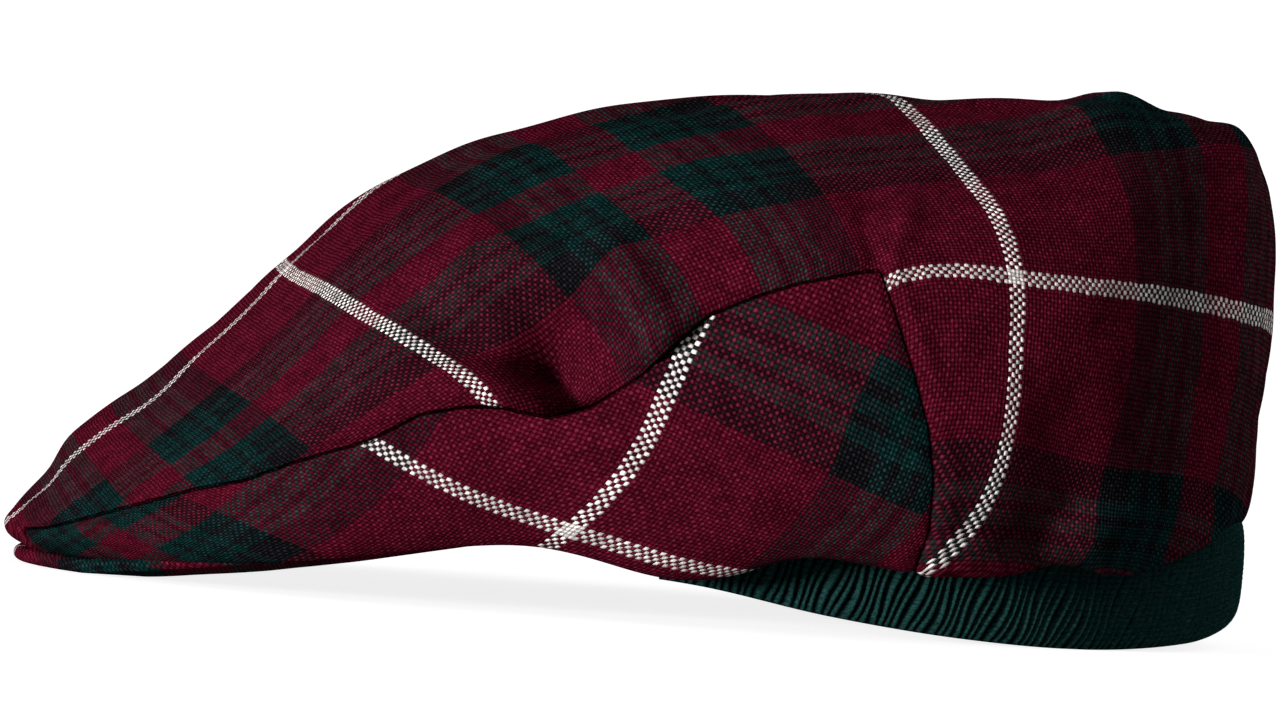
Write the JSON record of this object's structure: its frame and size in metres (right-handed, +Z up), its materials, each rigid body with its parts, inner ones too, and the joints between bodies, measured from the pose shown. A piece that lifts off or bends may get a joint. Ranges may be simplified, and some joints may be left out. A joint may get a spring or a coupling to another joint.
{
  "type": "flat cap",
  "caption": "Soft tartan flat cap: crown panel and two side panels sewn over a stiff peak, with a ribbed elastic knit band round the sides and back.",
  "frame": {"origin": "on the surface the cap stands on, below the middle of its outline seen from above", "axes": "+Z up, -Y towards the front of the peak, +X towards the wearer's left"},
  "size_m": [0.21, 0.2761, 0.1186],
  "materials": {
    "tartan_cloth": "plain-weave wool in crimson, black, bottle green and white, matt with a soft nap",
    "rib_knit": "ribbed elastic knit, dark green, matt"
  },
  "bodies": {
    "root": {"crown_panel": "tartan_cloth", "side_panel_left": "tartan_cloth", "side_panel_right": "tartan_cloth", "peak": "tartan_cloth", "knit_band": "rib_knit"}
  },
  "joints": []
}
